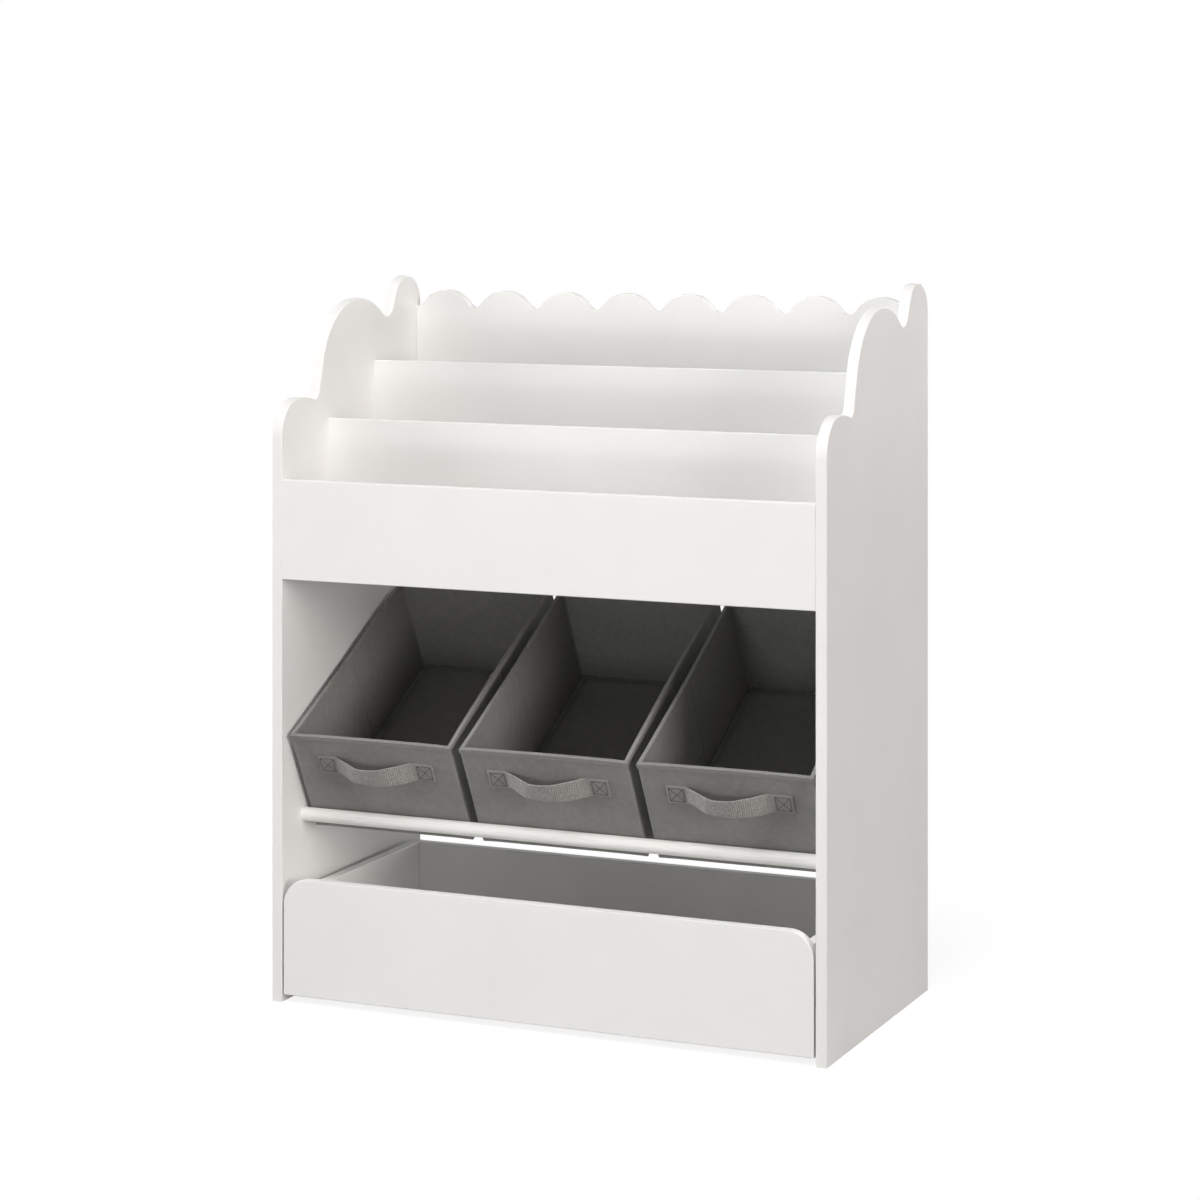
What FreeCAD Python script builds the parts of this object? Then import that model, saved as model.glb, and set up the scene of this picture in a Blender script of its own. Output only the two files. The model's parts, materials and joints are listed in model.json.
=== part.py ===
"""Children's toy organizer: cloud-sided cabinet, book rack, three tilted fabric bins, roll-out drawer.

Millimetres. X runs to the right, Y to the back, Z up. The origin is on the floor under the
middle of the cabinet. A distance called a depth is counted back from the cabinet's front edge.
"""
import FreeCAD
import Part
import math
import os

V = FreeCAD.Vector

# ---- cabinet ---------------------------------------------------------------------------------
WIDTH = 630.0                # over the two side panels
DEPTH = 326.0                # front edge to back edge of a side panel
BOARD = 12.0                 # painted board
THIN_BOARD = 6.0             # book dividers
EASE = 1.0                   # rounding sanded on the painted edges
FIT = 0.05                   # radial or side clearance of a seated pin, disc or board
TOUCH = 0.3                  # clearance of fabric and of a bin's rails
OVERCUT = 1.0                # how far a cutting shape stands out of what it cuts

# ---- cloud outline of the side panels: three lobes, low at the front ---------------------------
LOBE_1_TOP = 644.5
LOBE_1_CROWN_R = 90.0
LOBE_1_CROWN_DEPTH = 46.0
LOBE_1_CORNER_R = 40.0
LOBE_2_TOP = 747.5
LOBE_2_R = 88.0
LOBE_2_DEPTH = 177.0
LOBE_2_FLANK_DEG = 15.0      # lean of its straight flank from upright
LOBE_3_TOP = 769.0
LOBE_3_R = 32.0
LOBE_3_FLANK_DEG = 25.0
VALLEY_1_R = 10.0
VALLEY_2_R = 16.0

# ---- book rack -------------------------------------------------------------------------------
RACK_BOTTOM = 452.6
FASCIA_HEIGHT = 106.7
MIDDLE_DIVIDER_TOP = 618.0
REAR_DIVIDER_TOP = 676.0
MIDDLE_DIVIDER_DEPTH = 103.5
REAR_DIVIDER_DEPTH = 211.5
GROOVE = 4.0                 # how far a divider's end sits in the side panel
SCALLOP_TOP = 752.3
SCALLOP_COUNT = 8
SCALLOP_RISE = 19.7          # crest over valley
SCALLOP_VALLEY_R = 10.0

# ---- rails -----------------------------------------------------------------------------------
RAIL_R = 7.5
RAIL_SEAT = 8.0              # depth of the blind bore that holds a rail's end
STOP_RAIL_DEPTH = 48.7
STOP_RAIL_HEIGHT = 192.9
FRONT_SUPPORT_SETBACK = 26.0     # along a bin's floor, from its front
REAR_SUPPORT_INSET = 28.0        # along a bin's floor, from its back

# ---- fabric bins -----------------------------------------------------------------------------
BIN_NAMES = ("left", "middle", "right")
BIN_TILT_DEG = 28.1
BIN_GAP = 12.0               # between the bodies of two bins
BIN_HEIGHT = 122.0
BIN_DROP = 21.7              # floor of a bin below the stop rail's axis, along its front wall
BIN_BACK_CLEARANCE = 4.4
BIN_WALL = 2.5               # stiffened fabric wall
BIN_FABRIC = 1.5             # fabric under the base board
BASE_BOARD = 3.0             # loose stiffener that lies on the fabric floor
BASE_BOARD_PLAY = 0.4        # each side, past the tape on the rim
BINDING_HEIGHT = 5.0
BINDING_THICKNESS = 0.9

# ---- bin handle: flat webbing, sewn down at both ends -------------------------------------------
STRAP_WIDTH = 22.0
STRAP_THICKNESS = 1.6
STRAP_SPAN = 94.0            # free length between the sewn patches, straight across
STRAP_BOW = 18.0             # how far its middle stands off the front wall
STRAP_FOOT_R = 5.0           # fold where it leaves a patch
STRAP_PATCH = 22.0
STRAP_BELOW_RIM = 25.0

# ---- drawer ----------------------------------------------------------------------------------
DRAWER_GAP = 2.2             # front board to side panel
DRAWER_FRONT_BOTTOM = 8.4
DRAWER_FRONT_TOP = 133.0
DRAWER_CORNER_R = 28.0
DRAWER_BOX_GAP = 8.0         # drawer side to side panel
DRAWER_BOX_BOTTOM = 14.0
DRAWER_BOX_TOP = 118.0
DRAWER_BACK_CLEARANCE = 30.5

# ---- drawer casters --------------------------------------------------------------------------
WHEEL_R = 15.0
WHEEL_WIDTH = 14.0
WHEEL_EDGE_R = 1.5
WHEEL_HUB_R = 5.5
WHEEL_RIM = 3.5
WHEEL_DISH = 2.0
WHEEL_SIDE_PLAY = 0.6
WHEEL_TOP_PLAY = 1.0
AXLE_R = 2.5
AXLE_PLAY = 0.05
AXLE_HEAD_R = 3.6
AXLE_HEAD = 1.0
BRACKET_SHEET = 2.0
BRACKET_PLATE_LENGTH = 46.0
BRACKET_FLANGE = 8.0
BRACKET_EAR_R = 6.5
CASTER_SIDE_INSET = 30.0
CASTER_END_INSET = 30.0

# ---- lower back stretcher ----------------------------------------------------------------------
STRETCHER_BOTTOM = 12.0
STRETCHER_HEIGHT = 90.0

# ---- knock-down fittings -----------------------------------------------------------------------
CAM_R = 6.0
CAM_DEPTH = 9.5
CAM_DISTANCE = 24.0          # cam axis from the joint face
CAM_SLOT_WIDTH = 1.2         # driver slot, as deep as it is wide
CAM_SLOT_LENGTH = 7.0
BOLT_PLAY = 0.1              # around a bolt's head
BOLT_THREAD_R = 2.5
BOLT_THREAD = 8.5
BOLT_NECK_R = 1.9
BOLT_HEAD_R = 3.0
BOLT_HEAD = 3.0
PIN_R = 3.0                  # wooden alignment dowel
PIN_IN_PANEL = 8.0
PIN_IN_BOARD = 16.0
PIN_END_PLAY = 0.2
SCREW_R = 2.0
SCREW_LENGTH = 34.0
SCREW_HEAD_R = 3.8
SMALL_SCREW_R = 1.5
SMALL_SCREW_LENGTH = 9.0
SMALL_SCREW_HEAD_R = 2.8

# ---- what follows from the sizes above -----------------------------------------------------------
FRONT = -DEPTH / 2
BACK = DEPTH / 2
INNER = WIDTH / 2 - BOARD                    # half the width between the side panels
RACK_FLOOR_TOP = RACK_BOTTOM + BOARD
FASCIA_TOP = RACK_BOTTOM + FASCIA_HEIGHT
BIN_PITCH = 2 * INNER / len(BIN_NAMES)
BIN_WIDTH = BIN_PITCH - BIN_GAP

TILT = math.radians(BIN_TILT_DEG)
ALONG = V(0, math.cos(TILT), math.sin(TILT))     # a bin's floor, front to back
UP = V(0, -math.sin(TILT), math.cos(TILT))       # a bin's walls, floor to rim
ACROSS = V(1, 0, 0)

STOP_RAIL = V(0, FRONT + STOP_RAIL_DEPTH, STOP_RAIL_HEIGHT)
BIN_CORNER = STOP_RAIL + ALONG * (RAIL_R + TOUCH) - UP * BIN_DROP    # front lower edge of a bin
BIN_LENGTH = (BACK - BIN_BACK_CLEARANCE - BIN_CORNER.y) / math.cos(TILT)

AXLE_HEIGHT = WHEEL_R
BRACKET_TOP = 2 * WHEEL_R + WHEEL_TOP_PLAY + BRACKET_SHEET
DRAWER_HALF = INNER - DRAWER_BOX_GAP             # half the drawer box, outside
DRAWER_INNER = DRAWER_HALF - BOARD
DRAWER_BOX_FRONT = FRONT + BOARD
DRAWER_BOX_BACK = BACK - DRAWER_BACK_CLEARANCE
DRAWER_FLOOR_TOP = BRACKET_TOP + BOARD

parts = {}       # node name -> list of solids
cuts = {}        # node name -> shapes bored or grooved out of it


def add(node, *solids):
    parts.setdefault(node, []).extend(solids)


def cut_later(node, *tools):
    cuts.setdefault(node, []).extend(tools)


def box(x0, x1, y0, y1, z0, z1):
    return Part.makeBox(x1 - x0, y1 - y0, z1 - z0, V(x0, y0, z0))


def rod(radius, start, direction, length):
    return Part.makeCylinder(radius, length, start, direction)


def spread(low, high, count):
    """Middles of equal stretches between two places."""
    step = (high - low) / count
    return [low + step * (i + 0.5) for i in range(count)]


def eased(shape, axis):
    """Round the outline edges of a board's two broad faces, which are square to the axis."""
    levels = [vertex.Point.dot(axis) for vertex in shape.Vertexes]
    chosen = []
    for edge in shape.Edges:
        ends = [vertex.Point.dot(axis) for vertex in edge.Vertexes]
        if max(ends) - min(ends) < 1e-6:
            chosen.append(edge)
    return shape.makeFillet(min(EASE, (max(levels) - min(levels)) / 3), chosen)


# ---- outlines made of lines and arcs in a plane ------------------------------------------------
def polar(center, radius, angle):
    return (center[0] + radius * math.cos(angle), center[1] + radius * math.sin(angle))


def angle_to(center, point):
    return math.atan2(point[1] - center[1], point[0] - center[0])


def arc_points(center, radius, start, end):
    """Start, middle and end of an arc."""
    return [polar(center, radius, a) for a in (start, (start + end) / 2, end)]


def outline_face(runs, to_space):
    """A face from runs of plane points: two points are a line, three are an arc."""
    edges = []
    for run in runs:
        points = [to_space(p) for p in run]
        if len(points) == 2:
            edges.append(Part.LineSegment(*points).toShape())
        else:
            edges.append(Part.Arc(*points).toShape())
    return Part.Face(Part.Wire(Part.__sortEdges__(edges)))


def valley(center, radius, top, lean, valley_radius):
    """Hollow curve between a lobe's arc and the next lobe's straight flank.

    The flank runs down from top, leaning forward by lean. Gives the angle where the hollow
    leaves the lobe, the hollow as three points, and where it meets the flank.
    """
    out = (-math.cos(lean), math.sin(lean))
    down = (-math.sin(lean), -math.cos(lean))
    start = (top[0] + valley_radius * out[0] - center[0], top[1] + valley_radius * out[1] - center[1])
    reach = radius + valley_radius
    half = start[0] * down[0] + start[1] * down[1]
    rest = start[0] ** 2 + start[1] ** 2 - reach ** 2
    run = -half - math.sqrt(half ** 2 - rest)
    middle = (center[0] + start[0] + run * down[0], center[1] + start[1] + run * down[1])
    from_lobe = angle_to(middle, center)
    if from_lobe > 0:
        from_lobe -= 2 * math.pi
    to_flank = angle_to((0, 0), (-out[0], -out[1]))
    hollow = arc_points(middle, valley_radius, from_lobe, to_flank)
    return angle_to(center, middle), hollow, hollow[2]


def cloud_runs():
    """Side panel outline: depth from the front edge and height."""
    crown = (LOBE_1_CROWN_DEPTH, LOBE_1_TOP - LOBE_1_CROWN_R)
    inside = LOBE_1_CROWN_R - LOBE_1_CORNER_R
    rise = math.sqrt(inside ** 2 - (LOBE_1_CROWN_DEPTH - LOBE_1_CORNER_R) ** 2)
    corner = (LOBE_1_CORNER_R, crown[1] + rise)
    corner_end = angle_to(crown, corner)
    lobe_2 = (LOBE_2_DEPTH, LOBE_2_TOP - LOBE_2_R)
    lobe_3 = (DEPTH - LOBE_3_R, LOBE_3_TOP - LOBE_3_R)
    lean_2 = math.radians(LOBE_2_FLANK_DEG)
    lean_3 = math.radians(LOBE_3_FLANK_DEG)
    flank_2 = polar(lobe_2, LOBE_2_R, math.pi - lean_2)
    flank_3 = polar(lobe_3, LOBE_3_R, math.pi - lean_3)
    crown_end, hollow_1, foot_2 = valley(crown, LOBE_1_CROWN_R, flank_2, lean_2, VALLEY_1_R)
    lobe_2_end, hollow_2, foot_3 = valley(lobe_2, LOBE_2_R, flank_3, lean_3, VALLEY_2_R)
    return [
        [(0, 0), (0, corner[1])],
        arc_points(corner, LOBE_1_CORNER_R, math.pi, corner_end),
        arc_points(crown, LOBE_1_CROWN_R, corner_end, crown_end),
        hollow_1,
        [foot_2, flank_2],
        arc_points(lobe_2, LOBE_2_R, math.pi - lean_2, lobe_2_end),
        hollow_2,
        [foot_3, flank_3],
        arc_points(lobe_3, LOBE_3_R, math.pi - lean_3, 0),
        [(DEPTH, lobe_3[1]), (DEPTH, 0)],
        [(DEPTH, 0), (0, 0)],
    ]


def scallop_runs():
    """Back panel outline: a row of equal round crests with rounded valleys at both ends."""
    pitch = 2 * INNER / SCALLOP_COUNT
    reach = ((pitch / 2) ** 2 + SCALLOP_RISE ** 2) / (2 * SCALLOP_RISE)
    crest_r = reach - SCALLOP_VALLEY_R
    lean = math.asin(pitch / 2 / reach)          # where crest and valley meet
    crest_z = SCALLOP_TOP - crest_r
    valley_z = SCALLOP_TOP - SCALLOP_RISE + SCALLOP_VALLEY_R
    runs = [[(-INNER, RACK_BOTTOM), (-INNER, valley_z - SCALLOP_VALLEY_R)]]
    bottom = -math.pi / 2
    for i in range(SCALLOP_COUNT):
        crest = (-INNER + pitch * (i + 0.5), crest_z)
        before = (-INNER + pitch * i, valley_z)
        after = (-INNER + pitch * (i + 1), valley_z)
        runs.append(arc_points(before, SCALLOP_VALLEY_R, bottom, bottom + lean))
        runs.append(arc_points(crest, crest_r, math.pi / 2 + lean, math.pi / 2 - lean))
        runs.append(arc_points(after, SCALLOP_VALLEY_R, bottom - lean, bottom))
    runs.append([(INNER, valley_z - SCALLOP_VALLEY_R), (INNER, RACK_BOTTOM)])
    runs.append([(INNER, RACK_BOTTOM), (-INNER, RACK_BOTTOM)])
    return runs


# ---- knock-down fittings: cam bolts with cam discs, wooden pins, screws ---------------------------
def cam_joint(group, panel, board, face, into, hidden):
    """Bolt in the panel and cam disc in the board.

    face is the point between them, into points into the board, and hidden is the way to the
    board's hidden face, half a board away.
    """
    thread = rod(BOLT_THREAD_R, face - into * BOLT_THREAD, into, BOLT_THREAD)
    neck = rod(BOLT_NECK_R, face, into, CAM_DISTANCE)
    head = rod(BOLT_HEAD_R, face + into * (CAM_DISTANCE - BOLT_HEAD / 2), into, BOLT_HEAD)
    add(group + "_cam_bolts", thread.fuse([neck, head]).removeSplitter())
    mouth = face + into * CAM_DISTANCE + hidden * (BOARD / 2)
    disc = rod(CAM_R, mouth, hidden * -1, CAM_DEPTH - FIT)
    side = into.cross(hidden)
    slot_start = mouth - into * (CAM_SLOT_LENGTH / 2) - side * (CAM_SLOT_WIDTH / 2)
    slot = prism(slot_start, into * CAM_SLOT_LENGTH, side * CAM_SLOT_WIDTH, hidden * -CAM_SLOT_WIDTH)
    head_room = BOLT_HEAD_R + BOLT_PLAY
    grip_start = face + into * (CAM_DISTANCE - CAM_R - OVERCUT)
    grip = rod(head_room, grip_start, into, CAM_R + OVERCUT + BOLT_HEAD / 2 + BOLT_PLAY)
    add(group + "_cam_discs", disc.cut([slot, grip]))
    bore_start = face - into * (BOLT_THREAD + FIT)
    cut_later(panel, rod(BOLT_THREAD_R + FIT, bore_start, into, BOLT_THREAD + FIT + OVERCUT))
    pocket = rod(CAM_R + FIT, mouth + hidden * OVERCUT, hidden * -1, CAM_DEPTH + OVERCUT)
    bore = rod(head_room, face - into * OVERCUT, into, CAM_DISTANCE + OVERCUT)
    cut_later(board, pocket, bore)


def prism(corner, a, b, c):
    """Slanted box from one corner along three vectors."""
    points = [corner, corner + a, corner + a + b, corner + b, corner]
    return Part.Face(Part.makePolygon(points)).extrude(c)


def pin_joint(group, panel, board, face, into):
    """Wooden alignment pin between a panel and a board's end."""
    length = PIN_IN_PANEL + PIN_IN_BOARD - 2 * PIN_END_PLAY
    add(group + "_alignment_pins", rod(PIN_R, face - into * (PIN_IN_PANEL - PIN_END_PLAY), into, length))
    cut_later(panel, rod(PIN_R + FIT, face - into * PIN_IN_PANEL, into, PIN_IN_PANEL + OVERCUT))
    cut_later(board, rod(PIN_R + FIT, face - into * OVERCUT, into, PIN_IN_BOARD + OVERCUT))


def board_joint(group, panel, board, faces, into, hidden):
    """Pins at the ends and between, cams in the gaps: pin, cam, pin, cam, pin."""
    for index, face in enumerate(faces):
        if index % 2:
            cam_joint(group, panel, board, face, into, hidden)
        else:
            pin_joint(group, panel, board, face, into)


def screw(node, panel, board, head, into, radius, length, head_radius):
    """Countersunk screw: head is the middle of its flush face."""
    cone = head_radius - radius
    shank = rod(radius, head, into, length)
    top = Part.makeCone(head_radius, radius, cone, head, into)
    add(node, shank.fuse(top).removeSplitter())
    cut_later(panel, rod(radius + FIT, head - into * OVERCUT, into, length + OVERCUT))
    cut_later(panel, Part.makeCone(head_radius + FIT, radius + FIT, cone, head, into))
    cut_later(board, rod(radius + FIT, head, into, length))


# ---- cabinet ---------------------------------------------------------------------------------
def side_panels():
    for side, name in ((-1, "left"), (1, "right")):
        x = side * INNER
        face = outline_face(cloud_runs(), lambda p: V(x, FRONT + p[0], p[1]))
        add("side_panel_" + name, eased(face.extrude(V(side * BOARD, 0, 0)), ACROSS))


def rack_boards():
    depth_way = V(0, 1, 0)
    up_way = V(0, 0, 1)
    fascia = box(-INNER, INNER, FRONT, FRONT + BOARD, RACK_BOTTOM, FASCIA_TOP)
    add("front_fascia", eased(fascia, depth_way))
    back = outline_face(scallop_runs(), lambda p: V(p[0], BACK - BOARD, p[1]))
    add("scalloped_back_panel", eased(back.extrude(V(0, BOARD, 0)), depth_way))
    floor = box(-INNER, INNER, FRONT + BOARD, BACK - BOARD, RACK_BOTTOM, RACK_FLOOR_TOP)
    add("rack_floor", eased(floor, up_way))
    bottom_mid = RACK_BOTTOM + BOARD / 2
    for side, name in ((-1, "left"), (1, "right")):
        panel = "side_panel_" + name
        into = V(-side, 0, 0)
        rows = (
            ("front_fascia", [V(side * INNER, FRONT + BOARD / 2, z)
                              for z in spread(RACK_FLOOR_TOP, FASCIA_TOP, 3)], V(0, 1, 0)),
            ("scalloped_back_panel", [V(side * INNER, BACK - BOARD / 2, z)
                                      for z in spread(RACK_FLOOR_TOP, SCALLOP_TOP - SCALLOP_RISE, 5)],
             V(0, 1, 0)),
            ("rack_floor", [V(side * INNER, y, bottom_mid)
                            for y in spread(FRONT + BOARD, BACK - BOARD, 5)], V(0, 0, -1)),
        )
        for board, faces, hidden in rows:
            board_joint("cabinet", panel, board, faces, into, hidden)
    for x in spread(-INNER, INNER, 3):
        pin_joint("cabinet", "front_fascia", "rack_floor", V(x, FRONT + BOARD, bottom_mid), V(0, 1, 0))
        pin_joint("cabinet", "scalloped_back_panel", "rack_floor", V(x, BACK - BOARD, bottom_mid), V(0, -1, 0))


def dividers():
    for name, depth, top in (("middle", MIDDLE_DIVIDER_DEPTH, MIDDLE_DIVIDER_TOP),
                             ("rear", REAR_DIVIDER_DEPTH, REAR_DIVIDER_TOP)):
        y = FRONT + depth
        half = INNER + GROOVE - FIT
        board = box(-half, half, y, y + THIN_BOARD, RACK_FLOOR_TOP, top)
        add(name + "_divider", eased(board, V(0, 1, 0)))
        for side, panel in ((-1, "side_panel_left"), (1, "side_panel_right")):
            ends = sorted((side * (INNER - OVERCUT), side * (INNER + GROOVE)))
            cut_later(panel, box(ends[0], ends[1], y - FIT, y + THIN_BOARD + FIT, RACK_FLOOR_TOP, top + FIT))


def lower_stretcher():
    top = STRETCHER_BOTTOM + STRETCHER_HEIGHT
    add("lower_back_stretcher", eased(box(-INNER, INNER, BACK - BOARD, BACK, STRETCHER_BOTTOM, top), V(0, 1, 0)))
    for side, name in ((-1, "left"), (1, "right")):
        faces = [V(side * INNER, BACK - BOARD / 2, z) for z in spread(STRETCHER_BOTTOM, top, 3)]
        board_joint("cabinet", "side_panel_" + name, "lower_back_stretcher", faces, V(-side, 0, 0), V(0, 1, 0))


def rails():
    """Round rails with their ends in blind bores of the side panels."""
    under = UP * -(RAIL_R + TOUCH)
    middles = (
        ("front_stop_rail", STOP_RAIL),
        ("front_support_rail", BIN_CORNER + ALONG * FRONT_SUPPORT_SETBACK + under),
        ("rear_support_rail", BIN_CORNER + ALONG * (BIN_LENGTH - REAR_SUPPORT_INSET) + under),
    )
    half = INNER + RAIL_SEAT - FIT
    for name, middle in middles:
        add(name, rod(RAIL_R, V(-half, middle.y, middle.z), ACROSS, 2 * half))
        for side, panel in ((-1, "side_panel_left"), (1, "side_panel_right")):
            start = V(side * (INNER - OVERCUT), middle.y, middle.z)
            cut_later(panel, rod(RAIL_R + FIT, start, V(side, 0, 0), RAIL_SEAT + OVERCUT))


# ---- fabric bins -----------------------------------------------------------------------------
def bin_box(origin, x0, x1, l0, l1, h0, h1):
    """Box in a bin's own slanted directions: across, along its floor, up its walls."""
    corner = origin + ACROSS * x0 + ALONG * l0 + UP * h0
    return prism(corner, ACROSS * (x1 - x0), ALONG * (l1 - l0), UP * (h1 - h0))


def bin_walls(prefix, origin):
    half = BIN_WIDTH / 2
    top = BIN_HEIGHT - BINDING_THICKNESS
    add(prefix + "_front_wall", bin_box(origin, -half, half, 0, BIN_WALL, 0, top))
    add(prefix + "_rear_wall", bin_box(origin, -half, half, BIN_LENGTH - BIN_WALL, BIN_LENGTH, 0, top))
    for side, name in ((-1, "_left_wall"), (1, "_right_wall")):
        ends = sorted((side * half, side * (half - BIN_WALL)))
        add(prefix + name, bin_box(origin, *ends, BIN_WALL, BIN_LENGTH - BIN_WALL, 0, top))
    inner = half - BIN_WALL
    add(prefix + "_floor", bin_box(origin, -inner, inner, BIN_WALL, BIN_LENGTH - BIN_WALL, 0, BIN_FABRIC))
    edge = inner - BINDING_THICKNESS - BASE_BOARD_PLAY
    near = BIN_WALL + BINDING_THICKNESS + BASE_BOARD_PLAY
    add(prefix + "_base_board", bin_box(origin, -edge, edge, near, BIN_LENGTH - near,
                                        BIN_FABRIC, BIN_FABRIC + BASE_BOARD))


def bin_binding(prefix, origin):
    """Tape folded over the rim: a ring with the walls' top edge in it."""
    half = BIN_WIDTH / 2
    lap = BINDING_THICKNESS
    low = BIN_HEIGHT - BINDING_HEIGHT
    inner = half - BIN_WALL
    under = low - OVERCUT
    outer = bin_box(origin, -half - lap, half + lap, -lap, BIN_LENGTH + lap, low, BIN_HEIGHT)
    mouth = bin_box(origin, lap - inner, inner - lap, BIN_WALL + lap, BIN_LENGTH - BIN_WALL - lap,
                    under, BIN_HEIGHT + OVERCUT)
    wall_outer = bin_box(origin, -half, half, 0, BIN_LENGTH, under, BIN_HEIGHT - lap)
    wall_inner = bin_box(origin, -inner, inner, BIN_WALL, BIN_LENGTH - BIN_WALL, under, BIN_HEIGHT)
    add(prefix + "_rim_binding", outer.cut([mouth, wall_outer.cut(wall_inner)]))


def strap_side(offset):
    """One surface of the strap, left patch to right patch: across and out from the wall."""
    half = STRAP_SPAN / 2
    turn = 2 * math.atan(STRAP_BOW / half)
    crest_r = half / math.sin(turn) - STRAP_FOOT_R
    crest = (0, STRAP_BOW - crest_r)
    foot = (half, STRAP_FOOT_R)
    down = -math.pi / 2
    up = math.pi / 2
    foot_r = STRAP_FOOT_R - offset
    return [
        [(-half - STRAP_PATCH, offset), (-half, offset)],
        arc_points((-foot[0], foot[1]), foot_r, down, down + turn),
        arc_points(crest, crest_r + offset, up + turn, up - turn),
        arc_points(foot, foot_r, down - turn, down),
        [(half, offset), (half + STRAP_PATCH, offset)],
    ]


def bin_handle(prefix, origin):
    bottom = BIN_HEIGHT - STRAP_BELOW_RIM - STRAP_WIDTH
    edge = STRAP_SPAN / 2 + STRAP_PATCH
    runs = strap_side(0) + strap_side(STRAP_THICKNESS)
    runs.append([(-edge, 0), (-edge, STRAP_THICKNESS)])
    runs.append([(edge, 0), (edge, STRAP_THICKNESS)])
    base = origin + UP * bottom
    face = outline_face(runs, lambda p: base + ACROSS * p[0] - ALONG * p[1])
    add(prefix + "_handle", face.extrude(UP * STRAP_WIDTH))


def bins():
    for index, name in enumerate(BIN_NAMES):
        origin = BIN_CORNER + ACROSS * (BIN_PITCH * (index - (len(BIN_NAMES) - 1) / 2))
        prefix = "bin_" + name
        bin_walls(prefix, origin)
        bin_binding(prefix, origin)
        bin_handle(prefix, origin)


# ---- drawer ----------------------------------------------------------------------------------
def drawer_front_runs():
    half = INNER - DRAWER_GAP
    shoulder = DRAWER_FRONT_TOP - DRAWER_CORNER_R
    inner = half - DRAWER_CORNER_R
    return [
        [(-half, DRAWER_FRONT_BOTTOM), (-half, shoulder)],
        arc_points((-inner, shoulder), DRAWER_CORNER_R, math.pi, math.pi / 2),
        [(-inner, DRAWER_FRONT_TOP), (inner, DRAWER_FRONT_TOP)],
        arc_points((inner, shoulder), DRAWER_CORNER_R, math.pi / 2, 0),
        [(half, shoulder), (half, DRAWER_FRONT_BOTTOM)],
        [(half, DRAWER_FRONT_BOTTOM), (-half, DRAWER_FRONT_BOTTOM)],
    ]


def drawer_boards():
    front = outline_face(drawer_front_runs(), lambda p: V(p[0], FRONT, p[1]))
    add("drawer_front", eased(front.extrude(V(0, BOARD, 0)), V(0, 1, 0)))
    back = box(-DRAWER_INNER, DRAWER_INNER, DRAWER_BOX_BACK - BOARD, DRAWER_BOX_BACK,
               DRAWER_BOX_BOTTOM, DRAWER_BOX_TOP)
    add("drawer_back", eased(back, V(0, 1, 0)))
    floor = box(-DRAWER_INNER, DRAWER_INNER, DRAWER_BOX_FRONT, DRAWER_BOX_BACK - BOARD,
                BRACKET_TOP, DRAWER_FLOOR_TOP)
    add("drawer_bottom", eased(floor, V(0, 0, 1)))
    floor_mid = BRACKET_TOP + BOARD / 2
    for side, name in ((-1, "left"), (1, "right")):
        node = "drawer_" + name + "_side"
        ends = sorted((side * DRAWER_INNER, side * DRAWER_HALF))
        add(node, eased(box(*ends, DRAWER_BOX_FRONT, DRAWER_BOX_BACK, DRAWER_BOX_BOTTOM, DRAWER_BOX_TOP), ACROSS))
        middle = side * (DRAWER_INNER + BOARD / 2)
        faces = [V(middle, DRAWER_BOX_FRONT, z) for z in spread(DRAWER_BOX_BOTTOM, DRAWER_BOX_TOP, 3)]
        board_joint("drawer", "drawer_front", node, faces, V(0, 1, 0), V(-side, 0, 0))
        outside = side * DRAWER_HALF
        inward = V(-side, 0, 0)
        for z in spread(DRAWER_FLOOR_TOP, DRAWER_BOX_TOP, 2):
            screw("drawer_screws", node, "drawer_back", V(outside, DRAWER_BOX_BACK - BOARD / 2, z), inward,
                  SCREW_R, SCREW_LENGTH, SCREW_HEAD_R)
        for y in spread(DRAWER_BOX_FRONT, DRAWER_BOX_BACK - BOARD, 3):
            screw("drawer_screws", node, "drawer_bottom", V(outside, y, floor_mid), inward,
                  SCREW_R, SCREW_LENGTH, SCREW_HEAD_R)
    for x in spread(-DRAWER_INNER, DRAWER_INNER, 3):
        pin_joint("drawer", "drawer_front", "drawer_bottom", V(x, DRAWER_BOX_FRONT, floor_mid), V(0, 1, 0))


def wheel(center):
    """Moulded wheel: rounded tread, dished sides, hub with a running bore."""
    half = WHEEL_WIDTH / 2
    body = rod(WHEEL_R, center - ACROSS * half, ACROSS, WHEEL_WIDTH)
    body = body.makeFillet(WHEEL_EDGE_R, [edge for edge in body.Edges if edge.isClosed()])
    bore = rod(AXLE_R + AXLE_PLAY, center - ACROSS * WHEEL_WIDTH, ACROSS, 2 * WHEEL_WIDTH)
    dishes = []
    for side in (-1, 1):
        start = center + ACROSS * side * (half - WHEEL_DISH)
        outward = V(side, 0, 0)
        dish = rod(WHEEL_R - WHEEL_RIM, start, outward, WHEEL_DISH + OVERCUT)
        dishes.append(dish.cut(rod(WHEEL_HUB_R, start, outward, WHEEL_DISH + OVERCUT)))
    return body.cut([bore] + dishes)


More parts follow.
